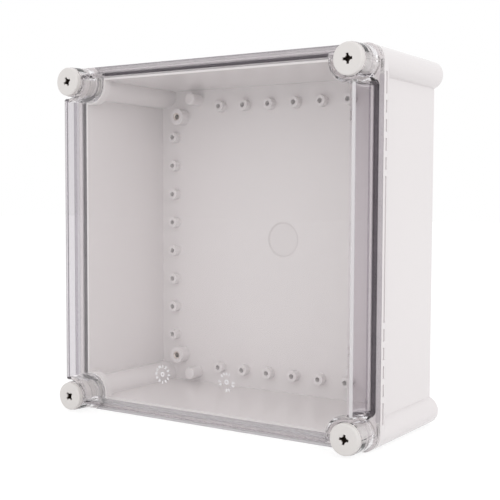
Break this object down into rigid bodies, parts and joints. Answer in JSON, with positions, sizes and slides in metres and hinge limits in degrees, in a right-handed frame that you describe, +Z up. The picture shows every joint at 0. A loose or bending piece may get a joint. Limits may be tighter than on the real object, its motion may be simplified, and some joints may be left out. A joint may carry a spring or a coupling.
{
  "type": "clear-lidded plastic wall enclosure",
  "caption": "Square light-grey plastic equipment enclosure with a clear drafted lid, captive corner screws, a lid seal and a floor ringed with screw bosses.",
  "frame": {"origin": "under the middle of the enclosure, on the surface that it stands on, halfway through its depth", "axes": "+X right as seen from the front, +Y from the lid towards the wall, +Z up"},
  "size_m": [0.276, 0.127, 0.276],
  "materials": {
    "tub_plastic": "light grey moulded plastic, smooth semi-gloss",
    "clear_plastic": "clear polycarbonate, polished",
    "seal_rubber": "dark grey soft seal, dull",
    "screw_plastic": "off-white moulded plastic, smooth",
    "retainer_plastic": "pale grey plastic, dull",
    "insert_brass": "machined brass"
  },
  "bodies": {
    "base": {"base_tub": "tub_plastic", "lid_gasket": "seal_rubber", "plate_insert_top_left": "insert_brass", "plate_insert_top_right": "insert_brass", "plate_insert_bottom_left": "insert_brass", "plate_insert_bottom_right": "insert_brass"},
    "lid": {"lid": "clear_plastic"},
    "retainer_top_left": {"screw_retainer_top_left": "retainer_plastic"},
    "screw_top_left": {"lid_screw_top_left": "screw_plastic"},
    "retainer_top_right": {"screw_retainer_top_right": "retainer_plastic"},
    "screw_top_right": {"lid_screw_top_right": "screw_plastic"},
    "retainer_bottom_left": {"screw_retainer_bottom_left": "retainer_plastic"},
    "screw_bottom_left": {"lid_screw_bottom_left": "screw_plastic"},
    "retainer_bottom_right": {"screw_retainer_bottom_right": "retainer_plastic"},
    "screw_bottom_right": {"lid_screw_bottom_right": "screw_plastic"}
  },
  "joints": [
    {"name": "lid_lift_off", "type": "slide", "parent": "base", "child": "lid", "axis": [0, -1, 0], "range_m": [0, 0.15]},
    {"name": "screw_travel_top_left", "type": "slide", "parent": "lid", "child": "retainer_top_left", "axis": [0, -1, 0], "range_m": [0, 0.012]},
    {"name": "screw_turn_top_left", "type": "hinge", "parent": "retainer_top_left", "child": "screw_top_left", "pos_m": [-0.125, -0.04, 0.263], "axis": [0, -1, 0], "range_deg": [0, 1440]},
    {"name": "screw_travel_top_right", "type": "slide", "parent": "lid", "child": "retainer_top_right", "axis": [0, -1, 0], "range_m": [0, 0.012]},
    {"name": "screw_turn_top_right", "type": "hinge", "parent": "retainer_top_right", "child": "screw_top_right", "pos_m": [0.125, -0.04, 0.263], "axis": [0, -1, 0], "range_deg": [0, 1440]},
    {"name": "screw_travel_bottom_left", "type": "slide", "parent": "lid", "child": "retainer_bottom_left", "axis": [0, -1, 0], "range_m": [0, 0.012]},
    {"name": "screw_turn_bottom_left", "type": "hinge", "parent": "retainer_bottom_left", "child": "screw_bottom_left", "pos_m": [-0.125, -0.04, 0.013], "axis": [0, -1, 0], "range_deg": [0, 1440]},
    {"name": "screw_travel_bottom_right", "type": "slide", "parent": "lid", "child": "retainer_bottom_right", "axis": [0, -1, 0], "range_m": [0, 0.012]},
    {"name": "screw_turn_bottom_right", "type": "hinge", "parent": "retainer_bottom_right", "child": "screw_bottom_right", "pos_m": [0.125, -0.04, 0.013], "axis": [0, -1, 0], "range_deg": [0, 1440]}
  ],
  "couplings": [
    {"joint": "screw_travel_top_left", "follows": "screw_turn_top_left", "m_per_rad": 0.00047746},
    {"joint": "screw_travel_top_right", "follows": "screw_turn_top_right", "m_per_rad": 0.00047746},
    {"joint": "screw_travel_bottom_left", "follows": "screw_turn_bottom_left", "m_per_rad": 0.00047746},
    {"joint": "screw_travel_bottom_right", "follows": "screw_turn_bottom_right", "m_per_rad": 0.00047746}
  ]
}
